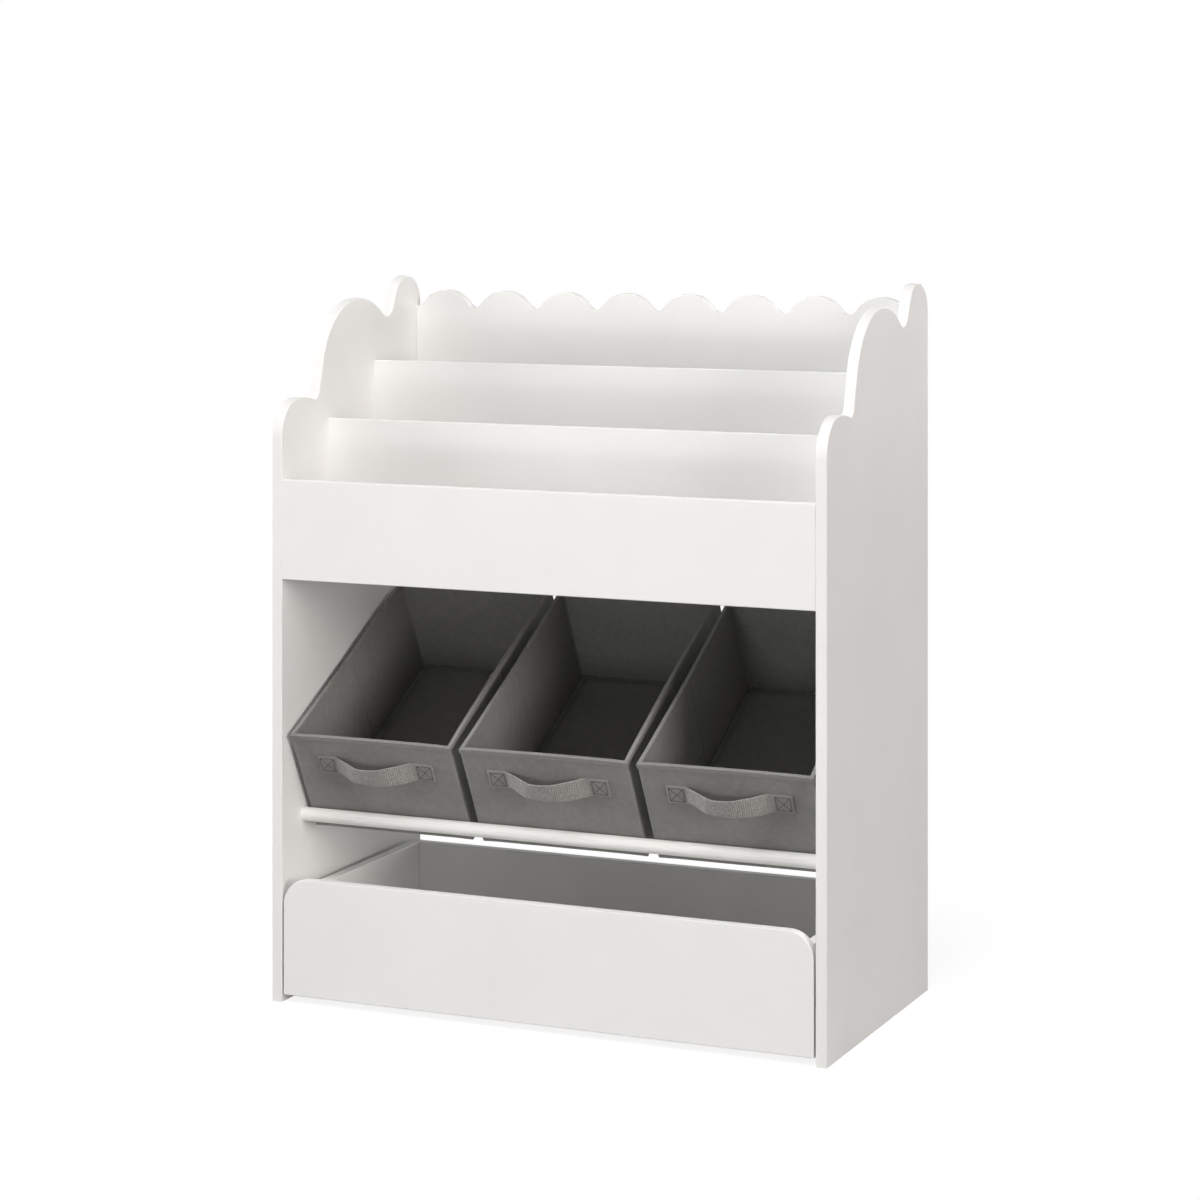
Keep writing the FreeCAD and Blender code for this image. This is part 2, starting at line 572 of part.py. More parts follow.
def caster_bracket(center):
    """Folded steel: a screwed plate with two ears that hold the axle."""
    gap = WHEEL_WIDTH / 2 + WHEEL_SIDE_PLAY
    outside = gap + BRACKET_SHEET
    plate_low = BRACKET_TOP - BRACKET_SHEET
    half_length = BRACKET_PLATE_LENGTH / 2
    bracket = box(center.x - outside - BRACKET_FLANGE, center.x + outside + BRACKET_FLANGE,
                  center.y - half_length, center.y + half_length, plate_low, BRACKET_TOP)
    ears = []
    for side in (-1, 1):
        ends = sorted((center.x + side * gap, center.x + side * outside))
        ears.append(box(*ends, center.y - BRACKET_EAR_R, center.y + BRACKET_EAR_R, center.z, plate_low))
        ears.append(rod(BRACKET_EAR_R, V(ends[0], center.y, center.z), ACROSS, BRACKET_SHEET))
    bracket = bracket.fuse(ears).removeSplitter()
    return bracket.cut(rod(AXLE_R + FIT / 2, center - ACROSS * 2 * outside, ACROSS, 4 * outside))


def casters():
    outside = WHEEL_WIDTH / 2 + WHEEL_SIDE_PLAY + BRACKET_SHEET
    near = DRAWER_BOX_FRONT + CASTER_END_INSET
    far = DRAWER_BOX_BACK - BOARD - CASTER_END_INSET
    reach = DRAWER_INNER - CASTER_SIDE_INSET
    for x, x_name in ((-reach, "left"), (reach, "right")):
        for y, y_name in ((near, "front"), (far, "rear")):
            center = V(x, y, AXLE_HEIGHT)
            add("caster_wheel_" + y_name + "_" + x_name, wheel(center))
            axle = rod(AXLE_R, center - ACROSS * outside, ACROSS, 2 * outside)
            heads = [rod(AXLE_HEAD_R, center + ACROSS * side * outside, V(side, 0, 0), AXLE_HEAD)
                     for side in (-1, 1)]
            add("caster_axles", axle.fuse(heads).removeSplitter())
            add("caster_brackets", caster_bracket(center))
            for side in (-1, 1):
                for end in (-1, 1):
                    spot = V(x + side * (outside + BRACKET_FLANGE / 2),
                             y + end * (BRACKET_PLATE_LENGTH / 2 - BRACKET_FLANGE / 2),
                             BRACKET_TOP - BRACKET_SHEET)
                    screw("caster_screws", "caster_brackets", "drawer_bottom", spot, V(0, 0, 1),
                          SMALL_SCREW_R, SMALL_SCREW_LENGTH, SMALL_SCREW_HEAD_R)


# ---- build and write ---------------------------------------------------------------------------
def finished(node):
    """The node's solids with their bores cut."""
    tools = cuts.get(node)
    if not tools:
        return parts[node]
    solids = []
    for solid in parts[node]:
        near = [tool for tool in tools if tool.BoundBox.intersect(solid.BoundBox)]
        solids += solid.cut(near).Solids if near else [solid]
    return solids


side_panels()
rack_boards()
dividers()
lower_stretcher()
rails()
bins()
drawer_boards()
casters()

os.makedirs("parts", exist_ok=True)
for node in parts:
    solids = finished(node)
    shape = solids[0] if len(solids) == 1 else Part.makeCompound(solids)
    shape.exportStep("parts/" + node + ".step")
    print(node, len(shape.Solids), "valid" if shape.isValid() else "NOT VALID", round(shape.Volume / 1000, 1), "cm3")
print("nodes", len(parts))
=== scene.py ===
# %% [markdown]
# # A cloud-sided toy organizer with tilted fabric bins
#
# The real thing is a low cabinet of white painted fibreboard. Its two side panels are cut to a cloud
# outline, a rack of three book tiers sits on top, three grey fabric bins lean on round rails below it,
# and a wide toy drawer rolls on the floor. The boards, rails, drawer and casters come in ready made and
# to size, so this lesson finishes their surfaces and models what is sewn: the bins.
#
# Everything is in metres. X runs to the right, Y to the back and Z up from the floor.

import json
import math

import bpy
from mathutils import Matrix, Vector, noise


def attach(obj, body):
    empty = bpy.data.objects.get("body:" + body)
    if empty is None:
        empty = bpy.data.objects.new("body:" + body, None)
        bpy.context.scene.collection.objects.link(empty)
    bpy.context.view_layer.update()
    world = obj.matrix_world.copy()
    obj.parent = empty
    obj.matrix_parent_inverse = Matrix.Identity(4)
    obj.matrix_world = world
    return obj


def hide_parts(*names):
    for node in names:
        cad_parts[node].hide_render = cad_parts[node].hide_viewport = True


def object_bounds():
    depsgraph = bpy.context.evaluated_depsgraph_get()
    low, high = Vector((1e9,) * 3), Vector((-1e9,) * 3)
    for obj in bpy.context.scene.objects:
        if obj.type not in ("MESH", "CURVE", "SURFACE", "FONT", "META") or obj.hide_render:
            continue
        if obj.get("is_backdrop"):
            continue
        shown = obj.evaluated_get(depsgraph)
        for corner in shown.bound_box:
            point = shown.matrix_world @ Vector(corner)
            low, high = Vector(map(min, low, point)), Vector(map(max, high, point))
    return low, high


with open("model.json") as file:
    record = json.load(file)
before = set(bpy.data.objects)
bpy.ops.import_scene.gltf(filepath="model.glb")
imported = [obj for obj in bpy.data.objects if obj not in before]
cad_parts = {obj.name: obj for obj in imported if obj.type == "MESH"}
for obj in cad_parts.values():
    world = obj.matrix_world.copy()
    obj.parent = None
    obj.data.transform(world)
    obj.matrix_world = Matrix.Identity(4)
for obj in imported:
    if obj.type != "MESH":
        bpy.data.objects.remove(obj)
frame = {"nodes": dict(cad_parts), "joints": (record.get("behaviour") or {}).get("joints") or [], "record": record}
cad_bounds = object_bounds()
MM = 0.001
print("ready-made pieces:", len(frame["nodes"]), "height in mm:", round(cad_bounds[1].z / MM))

# %% [markdown]
# ## Helpers for working as by hand
#
# An operator works on whatever is selected, and the imported pieces start out selected. So each step
# first selects one object, and inside it the faces, edges or points that lie at a certain place.


# %% Select one object, or parts of it by their place
def only(obj):
    """Make obj the one selected, active object."""
    bpy.ops.object.select_all(action="DESELECT")
    obj.select_set(True)
    bpy.context.view_layer.objects.active = obj


def pick(obj, kind, test):
    """Go into edit mode on obj with just the points, edges or faces selected that pass the test."""
    only(obj)
    bpy.ops.object.mode_set(mode="EDIT")
    bpy.ops.mesh.select_mode(type=kind)
    bpy.ops.mesh.select_all(action="DESELECT")
    bpy.ops.object.mode_set(mode="OBJECT")
    mesh = obj.data
    if kind == "VERT":
        for vertex in mesh.vertices:
            vertex.select = test(vertex.co)
    elif kind == "EDGE":
        for edge in mesh.edges:
            edge.select = test(*[mesh.vertices[i].co for i in edge.vertices])
    else:
        for face in mesh.polygons:
            face.select = test(face.center, face.normal)
    bpy.ops.object.mode_set(mode="EDIT")


def pick_all(obj):
    """Go into edit mode on obj with all of it selected."""
    only(obj)
    bpy.ops.object.mode_set(mode="EDIT")
    bpy.ops.mesh.select_all(action="SELECT")


def done():
    """Leave edit mode."""
    bpy.ops.object.mode_set(mode="OBJECT")


# %% Boxes, modifiers and the last touches of a piece
def box_between(name, low, high):
    """A box from its lowest to its highest corner, with its place in the mesh."""
    bpy.ops.object.select_all(action="DESELECT")
    bpy.ops.mesh.primitive_cube_add(size=1, location=(Vector(low) + Vector(high)) / 2)
    obj = bpy.context.object
    obj.name = name
    obj.data.name = name
    obj.scale = Vector(high) - Vector(low)
    bpy.ops.object.transform_apply(location=True, rotation=True, scale=True)
    return obj


def modify(obj, kind, **settings):
    """Add a modifier and apply it at once."""
    only(obj)
    modifier = obj.modifiers.new(kind.lower(), kind)
    for key, value in settings.items():
        setattr(modifier, key, value)
    bpy.ops.object.modifier_apply(modifier=modifier.name)


def round_edges(obj, width, segments, sharpness=50):
    """Bevel the edges that turn by more than sharpness, in degrees."""
    modify(obj, "BEVEL", width=width, segments=segments, limit_method="ANGLE",
           angle_limit=math.radians(sharpness))


def smooth(obj, degrees=35):
    """Shade round parts smoothly and keep sharp folds sharp."""
    only(obj)
    bpy.ops.object.shade_smooth_by_angle(angle=math.radians(degrees))


def join(name, objects):
    """Join objects into one piece."""
    bpy.ops.object.select_all(action="DESELECT")
    for obj in objects:
        obj.select_set(True)
    bpy.context.view_layer.objects.active = objects[0]
    bpy.ops.object.join()
    joined = bpy.context.object
    joined.name = name
    joined.data.name = name
    return joined


def twin(obj, name):
    """A copy of obj with a mesh of its own."""
    copy = obj.copy()
    copy.data = obj.data.copy()
    copy.name = name
    copy.data.name = name
    bpy.context.scene.collection.objects.link(copy)
    return copy


# %% [markdown]
# ## Camera
#
# The photograph was taken from the right, well above the object, with the camera held level, so upright
# edges stay upright and the object sits low in the picture. A level camera with a downward lens shift
# gives the same. Its lens is long, because the photographer stood about three metres away.

# %% Camera
CAMERA_PLACE = (1.3584, -3.0886, 0.8874)
CAMERA_TURN = math.radians(23.78)
LENS = 93.8
SENSOR = 36.0
SHIFT_DOWN = 0.3556
SIGHT = 50

bpy.ops.object.camera_add(location=CAMERA_PLACE, rotation=(math.pi / 2, 0, CAMERA_TURN))
camera = bpy.context.object
camera.data.lens = LENS
camera.data.sensor_width = SENSOR
camera.data.shift_y = -SHIFT_DOWN
camera.data.clip_end = SIGHT
bpy.context.scene.camera = camera
print("camera stands", round(math.hypot(*CAMERA_PLACE[:2]), 2), "m from the middle of the organizer")

# %% [markdown]
# ## One small function for nodes
#
# Every finish below is a chain of nodes that starts from the place on the object, in metres. One small
# function adds a node with its settings, fills its inputs, and gives back the output that the next node
# needs. Another turns the sRGB hex values, in which the colours are written, to linear light.

# %% Colours and nodes
RANGE = "ShaderNodeMapRange"
MAPPING = "ShaderNodeMapping"
MATH = "ShaderNodeMath"
MIX = "ShaderNodeMix"
NOISE = "ShaderNodeTexNoise"
BUMP = "ShaderNodeBump"


def linear(code):
    """Linear red, green, blue and alpha of an sRGB hex colour."""
    parts = [int(code[i : i + 2], 16) / 255 for i in (1, 3, 5)]
    return [c / 12.92 if c <= 0.04045 else ((c + 0.055) / 1.055) ** 2.4 for c in parts] + [1]


def fill(tree, made, inputs):
    """Fill a node's inputs, each with another node's output or with a plain value."""
    for key, value in inputs.items():
        if isinstance(value, bpy.types.NodeSocket):
            tree.links.new(value, made.inputs[key])
        else:
            made.inputs[key].default_value = value


def node(tree, kind, inputs, out=0, **settings):
    """Add a node with its settings and inputs, and return one of its outputs."""
    made = tree.nodes.new(kind)
    for key, value in settings.items():
        setattr(made, key, value)
    fill(tree, made, inputs)
    return made.outputs[out] if made.outputs else None


def finish(name):
    """A new material with its nodes, its shader and the place on the object."""
    material = bpy.data.materials.new(name)
    material.use_nodes = True
    tree = material.node_tree
    place = node(tree, "ShaderNodeTexCoord", {}, "Object")
    return material, tree, tree.nodes["Principled BSDF"], place


# %% [markdown]
# ## Painted fibreboard
#
# The boards are medium-density fibreboard, sprayed with two coats of white satin lacquer. Such
# a coat is never quite flat: it has a fine orange peel, about two millimetres from crest to crest, and
# the spray leaves clouds a hand wide where it lies a little thicker. Nothing else shows, so the colour
# barely moves, and the gloss moves a little more than the colour.

# %% Satin white lacquer on fibreboard
BOARD_WHITE = "#EDECEA"
BOARD_SHADE = "#EAE9E7"
ORANGE_PEEL = 2.2 * MM
PEEL_DEPTH = 0.02 * MM
SPRAY_CLOUD = 90 * MM


def lacquered_fibreboard():
    material, tree, shader, place = finish("satin_lacquer_on_fibreboard")
    clouds = node(tree, NOISE, {"Vector": place, "Scale": 1 / SPRAY_CLOUD, "Detail": 4})
    thick = node(tree, RANGE, {"Value": clouds, "From Min": 0.3, "From Max": 0.7})
    white = {"Factor": thick, "A": linear(BOARD_SHADE), "B": linear(BOARD_WHITE)}
    colour = node(tree, MIX, white, "Result", data_type="RGBA")
    gloss = node(tree, RANGE, {"Value": thick, "To Min": 0.50, "To Max": 0.46})
    peel = node(tree, NOISE, {"Vector": place, "Scale": 1 / ORANGE_PEEL, "Detail": 1})
    relief = node(tree, BUMP, {"Height": peel, "Distance": PEEL_DEPTH})
    fill(tree, shader, {"Base Color": colour, "Roughness": gloss, "Normal": relief})
    fill(tree, shader, {"IOR": 1.5, "Specular IOR Level": 0.4})
    return material


# %% [markdown]
# ## Painted round rail
#
# The rails are turned softwood under the same white. Wood grain runs along a rail, and the paint sinks
# into it, so faint long streaks stay visible, a few centimetres long and about a millimetre wide.

# %% White paint over turned wood
RAIL_WHITE = "#F1F0ED"
RAIL_STREAK = "#DCDAD6"
STREAK_WIDTH = 1.2 * MM
STREAK_LENGTH = 30
STREAK_DEPTH = 0.12 * MM


def painted_rail():
    material, tree, shader, place = finish("white_paint_on_turned_pine")
    along = node(tree, MAPPING, {"Vector": place, "Scale": (1 / STREAK_LENGTH, 1, 1)})
    wood = {"Vector": along, "Scale": 1 / STREAK_WIDTH, "Detail": 4, "Roughness": 0.6}
    streaks = node(tree, NOISE, wood)
    sunk = node(tree, RANGE, {"Value": streaks, "From Min": 0.5, "From Max": 0.75})
    white = {"Factor": sunk, "A": linear(RAIL_WHITE), "B": linear(RAIL_STREAK)}
    colour = node(tree, MIX, white, "Result", data_type="RGBA")
    gloss = node(tree, RANGE, {"Value": streaks, "To Min": 0.40, "To Max": 0.55})
    relief = node(tree, BUMP, {"Height": streaks, "Distance": STREAK_DEPTH})
    fill(tree, shader, {"Base Color": colour, "Roughness": gloss, "Normal": relief})
    fill(tree, shader, {"IOR": 1.5, "Specular IOR Level": 0.4})
    return material


# %% [markdown]
# ## Non-woven bin fabric
#
# The bins are spun-bonded polypropylene felt: short fibres pressed between warm rollers that leave tiny
# dimples in rows. From a step away it is a matte grey with a soft mottle and a faint tooth. The dimples
# are one and a half millimetres apart here, which is about twice the real pitch, so that they show.

# %% Spun-bonded polypropylene
FELT_GREY = "#8B8A87"
FELT_DARK = "#7D7C79"
FELT_CLOUD = 7 * MM
FIBRE = 0.5 * MM
FIBRE_DEPTH = 0.08 * MM
DIMPLE_PITCH = 1.5 * MM
DIMPLE_DEPTH = 0.10 * MM


def spunbond_felt():
    material, tree, shader, place = finish("spunbond_polypropylene")
    clouds = node(tree, NOISE, {"Vector": place, "Scale": 1 / FELT_CLOUD, "Detail": 5, "Roughness": 0.65})
    lying = node(tree, MAPPING, {"Vector": place, "Scale": (1, 0.33, 0.33)})
    fibres = node(tree, NOISE, {"Vector": lying, "Scale": 1 / FIBRE, "Detail": 3, "Roughness": 0.7})
    both = node(tree, MATH, {0: clouds, 1: fibres}, operation="ADD")
    mottle = node(tree, RANGE, {"Value": both, "From Min": 0.76, "From Max": 1.24})
    greys = {"Factor": mottle, "A": linear(FELT_DARK), "B": linear(FELT_GREY)}
    colour = node(tree, MIX, greys, "Result", data_type="RGBA")
    dots = {"Vector": place, "Scale": 1 / DIMPLE_PITCH, "Randomness": 0.35}
    pressed = node(tree, "ShaderNodeTexVoronoi", dots, "Distance")
    dimples = node(tree, RANGE, {"Value": pressed, "From Min": 0.1, "From Max": 0.45})
    tooth = node(tree, BUMP, {"Height": dimples, "Distance": DIMPLE_DEPTH})
    relief = node(tree, BUMP, {"Height": fibres, "Distance": FIBRE_DEPTH, "Normal": tooth})
    fill(tree, shader, {"Base Color": colour, "Roughness": 0.88, "Normal": relief})
    fill(tree, shader, {"IOR": 1.49, "Specular IOR Level": 0.25})
    fill(tree, shader, {"Sheen Weight": 0.12, "Sheen Roughness": 0.6})
    return material


# %% [markdown]
# ## Strap
#
# The handle is webbing with cross ribs, two millimetres apart, in a heathered yarn: light and dark
# fibres are spun together, so it looks speckled close up, and the grooves between the ribs carry painted
# shade. Its loose part stands off the wall and gets lighter greys: painted light, for the light that it
# catches. Its two ends are pressed flat by their stitching. Each point of the strap carries how loose it
# is, from 0 to 1, and the colour follows.

# %% Ribbed webbing
STRAP_LIGHT = "#ADABA7"
STRAP_MID = "#72706D"
PATCH_LIGHT = "#9A9895"
PATCH_DARK = "#807E7B"
YARN = 1.4 * MM
YARN_DEPTH = 0.25 * MM
RIB_PITCH = 2.2 * MM
RIB_DEPTH = 0.12 * MM
GROOVE_SHADE = 0.045


def ribbed_strap():
    material, tree, shader, place = finish("ribbed_polypropylene_webbing")
    across = node(tree, "ShaderNodeSeparateXYZ", {"Vector": place}, "X")
    phase = node(tree, MATH, {0: across, 1: 2 * math.pi / RIB_PITCH}, operation="MULTIPLY")
    ribs = node(tree, MATH, {0: phase}, operation="SINE")
    yarn = node(tree, NOISE, {"Vector": place, "Scale": 1 / YARN, "Detail": 4, "Roughness": 0.75})
    # painted shade: GROOVE_SHADE darkens the colour in the grooves between the ribs
    grooved = node(tree, MATH, {0: ribs, 1: GROOVE_SHADE, 2: yarn}, operation="MULTIPLY_ADD")
    heather = node(tree, RANGE, {"Value": grooved, "From Min": 0.34, "From Max": 0.66})
    ends = {"Factor": heather, "A": linear(PATCH_DARK), "B": linear(PATCH_LIGHT)}
    pressed = node(tree, MIX, ends, "Result", data_type="RGBA")
    # painted light: the loose part of the strap, which stands off the wall, gets lighter greys than the pressed
    # ends
    middle = {"Factor": heather, "A": linear(STRAP_MID), "B": linear(STRAP_LIGHT)}
    bow_painted_lighter = node(tree, MIX, middle, "Result", data_type="RGBA")
    loose = node(tree, "ShaderNodeAttribute", {}, "Fac", attribute_name="loose")
    colour = node(tree, MIX, {"Factor": loose, "A": pressed, "B": bow_painted_lighter}, "Result", data_type="RGBA")
    ribbed = node(tree, BUMP, {"Height": ribs, "Distance": RIB_DEPTH})
    relief = node(tree, BUMP, {"Height": yarn, "Distance": YARN_DEPTH, "Normal": ribbed})
    fill(tree, shader, {"Base Color": colour, "Roughness": 0.85, "Normal": relief})
    fill(tree, shader, {"IOR": 1.49, "Specular IOR Level": 0.25, "Sheen Weight": 0.15})
    return material


# %% [markdown]
# ## Binding tape and thread
#
# The rim is bound with a plain woven tape, a touch smoother and more even than the felt. The sum of
# waves along the three axes gives its weave on every side of the bin. The thread is twisted polyester,
# a good deal darker than the cloth, and each of its plies shows as a small light and dark fleck.

# %% Woven binding tape
TAPE_LIGHT = "#8A8986"
TAPE_DARK = "#82817E"
TAPE_CLOUD = 4 * MM
TAPE_THREAD = 0.9 * MM
WEAVE_DEPTH = 0.015 * MM


def woven_tape():
    material, tree, shader, place = finish("woven_polyester_tape")
    clouds = node(tree, NOISE, {"Vector": place, "Scale": 1 / TAPE_CLOUD, "Detail": 4})
    mottle = node(tree, RANGE, {"Value": clouds, "From Min": 0.3, "From Max": 0.7})
    greys = {"Factor": mottle, "A": linear(TAPE_DARK), "B": linear(TAPE_LIGHT)}
    colour = node(tree, MIX, greys, "Result", data_type="RGBA")
    phase = node(tree, MAPPING, {"Vector": place, "Scale": [math.pi / TAPE_THREAD] * 3})
    waves = []
    for axis in "XYZ":
        turn = node(tree, "ShaderNodeSeparateXYZ", {"Vector": phase}, axis)
        waves.append(node(tree, MATH, {0: turn}, operation="SINE"))
    flat = node(tree, MATH, {0: waves[0], 1: waves[1]}, operation="ADD")
    weave = node(tree, MATH, {0: flat, 1: waves[2]}, operation="ADD")
    relief = node(tree, BUMP, {"Height": weave, "Distance": WEAVE_DEPTH})
    fill(tree, shader, {"Base Color": colour, "Roughness": 0.8, "Normal": relief})
    fill(tree, shader, {"IOR": 1.5, "Specular IOR Level": 0.3, "Sheen Weight": 0.1})
    return material


# %% Sewing thread
THREAD_GREY = "#323130"
THREAD_WORN = "#454442"
PLY = 0.35 * MM
PLY_DEPTH = 0.08 * MM


def sewing_thread():
    material, tree, shader, place = finish("polyester_sewing_thread")
    plies = node(tree, NOISE, {"Vector": place, "Scale": 1 / PLY, "Detail": 1})
    twist = node(tree, RANGE, {"Value": plies, "From Min": 0.3, "From Max": 0.7})
    greys = {"Factor": twist, "A": linear(THREAD_GREY), "B": linear(THREAD_WORN)}
    colour = node(tree, MIX, greys, "Result", data_type="RGBA")
    relief = node(tree, BUMP, {"Height": plies, "Distance": PLY_DEPTH})
    fill(tree, shader, {"Base Color": colour, "Roughness": 0.6, "Normal": relief})
    fill(tree, shader, {"IOR": 1.5, "Sheen Weight": 0.2})
    return material


# %% [markdown]
# ## Fittings, pins and casters
#
# Cam bolts, cams, screws, brackets and axles are steel with a bright zinc plating, drawn and pressed,
# so they carry fine scratches along one way. The alignment pins are bare birch. The wheels are moulded
# polypropylene in dark grey, with the even, slightly pebbled skin that a mould leaves.

# %% Zinc-plated steel
ZINC = "#B9BBBE"
ZINC_SHADE = "#A3A5A8"
ZINC_CLOUD = 3 * MM
SCRATCH = 0.3 * MM
SCRATCH_DEPTH = 0.02 * MM


def zinc_plate():
    material, tree, shader, place = finish("zinc_plated_steel")
    clouds = node(tree, NOISE, {"Vector": place, "Scale": 1 / ZINC_CLOUD, "Detail": 3})
    mottle = node(tree, RANGE, {"Value": clouds, "From Min": 0.3, "From Max": 0.7})
    metals = {"Factor": mottle, "A": linear(ZINC), "B": linear(ZINC_SHADE)}
    colour = node(tree, MIX, metals, "Result", data_type="RGBA")
    drawn = node(tree, MAPPING, {"Vector": place, "Scale": (1, 1 / 12, 1)})
    scratches = node(tree, NOISE, {"Vector": drawn, "Scale": 1 / SCRATCH, "Detail": 2})
    worn = {"Value": scratches, "From Min": 0.3, "From Max": 0.7, "To Min": 0.28, "To Max": 0.45}
    gloss = node(tree, RANGE, worn)
    relief = node(tree, BUMP, {"Height": scratches, "Distance": SCRATCH_DEPTH})
    fill(tree, shader, {"Base Color": colour, "Metallic": 1, "Roughness": gloss, "Normal": relief})
    return material


# %% Bare birch pins
BIRCH = "#D3B48A"
BIRCH_DARK = "#B9966A"
BIRCH_GRAIN = 0.8 * MM
GRAIN_DEPTH = 0.05 * MM


def bare_birch():
    material, tree, shader, place = finish("bare_birch_dowel")
    along = node(tree, MAPPING, {"Vector": place, "Scale": (0.1, 0.1, 1)})
    grain = node(tree, NOISE, {"Vector": along, "Scale": 1 / BIRCH_GRAIN, "Detail": 4})
    rings = node(tree, RANGE, {"Value": grain, "From Min": 0.3, "From Max": 0.7})
    browns = {"Factor": rings, "A": linear(BIRCH), "B": linear(BIRCH_DARK)}
    colour = node(tree, MIX, browns, "Result", data_type="RGBA")
    relief = node(tree, BUMP, {"Height": grain, "Distance": GRAIN_DEPTH})
    fill(tree, shader, {"Base Color": colour, "Roughness": 0.7, "Normal": relief, "IOR": 1.5})
    return material


# %% Moulded polypropylene wheels
WHEEL_GREY = "#46474A"
WHEEL_SCUFF = "#5A5B5D"
SCUFF = 2.5 * MM
PEBBLE = 0.35 * MM
PEBBLE_DEPTH = 0.03 * MM


def moulded_polypropylene():
    material, tree, shader, place = finish("moulded_polypropylene")
    scuffs = node(tree, NOISE, {"Vector": place, "Scale": 1 / SCUFF, "Detail": 5, "Roughness": 0.7})
    worn = node(tree, RANGE, {"Value": scuffs, "From Min": 0.5, "From Max": 0.8})
    greys = {"Factor": worn, "A": linear(WHEEL_GREY), "B": linear(WHEEL_SCUFF)}
    colour = node(tree, MIX, greys, "Result", data_type="RGBA")
    duller = {"Value": scuffs, "From Min": 0.3, "From Max": 0.7, "To Min": 0.45, "To Max": 0.62}
    gloss = node(tree, RANGE, duller)
    pebbles = node(tree, NOISE, {"Vector": place, "Scale": 1 / PEBBLE, "Detail": 1})
    relief = node(tree, BUMP, {"Height": pebbles, "Distance": PEBBLE_DEPTH})
    fill(tree, shader, {"Base Color": colour, "Roughness": gloss, "Normal": relief})
    fill(tree, shader, {"IOR": 1.49, "Specular IOR Level": 0.4})
    return material


# %% [markdown]
# ## Dress the ready-made pieces
#
# Each ready-made piece already names what it is made of. So one dictionary from those names to the
# finishes above is enough, and each object's one material slot gets its finish.

# %% Give every ready-made piece its finish
board = lacquered_fibreboard()
felt = spunbond_felt()
strap = ribbed_strap()
tape = woven_tape()
thread = sewing_thread()
FINISHES = {
    "white_board": board,
    "white_rail": painted_rail(),
    "dowel_wood": bare_birch(),
    "bin_fabric": felt,
    "binding_tape": tape,
    "webbing": strap,
    "stiffener_board": felt,
    "zinc_steel": zinc_plate(),
    "wheel_plastic": moulded_polypropylene(),
}
slot_of = {row["node"]: row["material_slot"] for row in frame["record"]["subparts"]}
for name, obj in frame["nodes"].items():
    for holder in obj.material_slots:
        holder.material = FINISHES[slot_of[name]]
print("finishes used:", sorted(set(slot_of.values())))

# %% [markdown]
# ## The bins' own directions
#
# A bin leans to the front, so it is modelled level and then tipped. The way its base board lifts out is
# known, and gives the tilt. Turning the ready-made walls back by that tilt gives the bin's level size.
# Two places nearer than a tenth of a millimetre count as the same from here on.

# %% Tilt and level size of a bin
NEAR = 0.1 * MM
board_lift = next(j for j in frame["joints"] if j["name"] == "bin_middle_base_board_lift")
TILT = math.atan2(-board_lift["axis"][1], board_lift["axis"][2])
LEVEL = Matrix.Rotation(-TILT, 3, "X")


def level_box(*names):
    """Lowest and highest corner of ready-made pieces, turned back level."""
    points = [LEVEL @ v.co for name in names for v in frame["nodes"][name].data.vertices]
    return Vector(map(min, zip(*points))), Vector(map(max, zip(*points)))


WALLS = ["bin_middle_" + wall for wall in ("front_wall", "rear_wall", "left_wall", "right_wall")]
low, high = level_box(*WALLS)
tape_low, tape_high = level_box("bin_middle_rim_binding")
board_low, board_high = level_box("bin_middle_base_board")
LAP = low.y - tape_low.y
high.z = tape_high.z - LAP
size = high - low
print("tilt", round(math.degrees(TILT), 1), "degrees, bin", [round(s / MM) for s in size], "mm")

# %% [markdown]
# ## How the fabric gives
#
# The walls hold stiff boards inside the felt, so they stay nearly flat. Still, each long wall is folded
# once at its middle so that the empty bin can collapse, and it keeps a slight dent there that grows to
# the rim. The front and back hollow a little between their corners. All pieces of a bin, down to the
# stitches, are moved by the same function, so that they stay together. Only the base board lies loose.

# %% One function moves everything that is sewn to a wall
FOLD_DENT = 1.6 * MM
HOLLOW = 0.9 * MM
RELIEF = 0.5 * MM
RIPPLE = 0.15 * MM
RIPPLE_LENGTH = 45 * MM
WALL_REACH = 8 * MM
DENT_AT_FLOOR = 0.25
CORNER_GRIP = 12
fold_line = (low.y + high.y) / 2


def freedom(share):
    """How freely a wall moves at a share of its length: 0 at the corners, 1 over most of it."""
    return min(1, CORNER_GRIP * share * (1 - share))


def give(point, seed):
    """How far a point of a bin moves as its walls give, always inwards."""
    along, across, rise = [min(max((point[i] - low[i]) / size[i], 0), 1) for i in (1, 0, 2)]
    ripple = RIPPLE * (1 + noise.noise(point / RIPPLE_LENGTH + Vector((seed, 0, 0))))
    move = Vector((0, 0, 0))
    near_side = abs(point.x) > high.x - WALL_REACH
    if near_side:
        grown = DENT_AT_FLOOR + (1 - DENT_AT_FLOOR) * rise
        dent = FOLD_DENT * (1 - abs(2 * along - 1)) * grown
        free = freedom(along)
        move.x = -math.copysign(RELIEF * free + dent + ripple * free, point.x)
    near_end = point.y < low.y + WALL_REACH or point.y > high.y - WALL_REACH
    if near_end:
        free = freedom(across)
        hollow = HOLLOW * math.sin(math.pi * across) * rise
        move.y = math.copysign(RELIEF * free + hollow + ripple * free, fold_line - point.y)
    return move


def settle(obj, seed):
    """Let a level piece of a bin give with the walls."""
    for vertex in obj.data.vertices:
        vertex.co += give(vertex.co, seed)


# %% [markdown]
# ## The sewn shell
#
# A bin is one fabric shell: four walls and a floor, open on top. It starts as a box without its lid and
# gets a fine net of faces, so that it can give softly. Solidify makes the walls as thick as their inner
# boards, and a bevel softens the corners where the felt turns. The crease at the middle of each long
# wall is pressed in on both faces, as the stitching between two stiff boards does.

